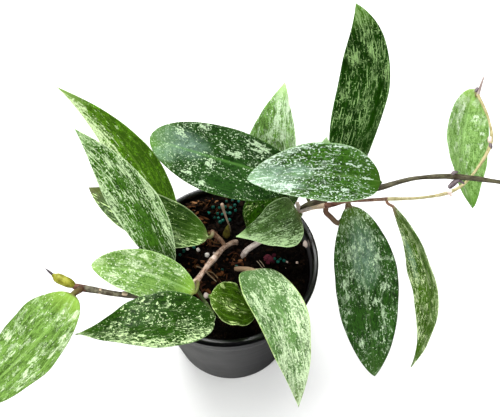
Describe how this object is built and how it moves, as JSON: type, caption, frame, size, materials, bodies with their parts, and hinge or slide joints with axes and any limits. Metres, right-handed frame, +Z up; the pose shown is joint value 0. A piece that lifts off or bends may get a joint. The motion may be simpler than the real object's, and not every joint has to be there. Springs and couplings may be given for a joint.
{
  "type": "potted hoya plant",
  "caption": "Trailing hoya with fleshy pointed leaves flecked with silver, growing over the rim of a small round black nursery pot.",
  "frame": {"origin": "on the floor, at the centre of the pot's underside", "axes": "+Z up along the pot's axis, +X towards the long trailing vines, -Y towards the side the plant is looked at from"},
  "size_m": [0.3204, 0.2011, 0.1849],
  "materials": {
    "pot_plastic": "satin moulded black",
    "potting_mix": "coarse bark and peat mix with perlite",
    "bark": "smooth brown bark",
    "straw": "dry",
    "young_growth": "smooth",
    "leaf_dark": "waxy, flecked with silver",
    "leaf_mid": "waxy, flecked with silver",
    "leaf_light": "waxy, flecked with silver",
    "leaf_pale": "waxy, heavily flecked with silver"
  },
  "bodies": {
    "root": {"pot": "pot_plastic", "soil": "potting_mix", "stem_left": "bark", "stem_right": "bark", "dry_stalk": "straw", "green_shoot": "young_growth", "leaf_young": "young_growth", "leaf_far_left": "leaf_light", "leaf_splash_left": "leaf_pale", "leaf_under_left": "leaf_mid", "leaf_low_left": "leaf_light", "leaf_mid_left": "leaf_light", "leaf_dark_left": "leaf_dark", "leaf_small_round": "leaf_mid", "leaf_bright_front": "leaf_pale", "leaf_small_centre": "leaf_mid", "leaf_big_top": "leaf_dark", "leaf_shadow": "leaf_dark", "leaf_speckled_top": "leaf_mid", "leaf_tall_back": "leaf_dark", "leaf_pale_back": "leaf_pale", "leaf_hidden_back": "leaf_pale", "leaf_far_right": "leaf_light", "leaf_hang_dark": "leaf_dark", "leaf_hang_narrow": "leaf_mid"}
  },
  "joints": []
}
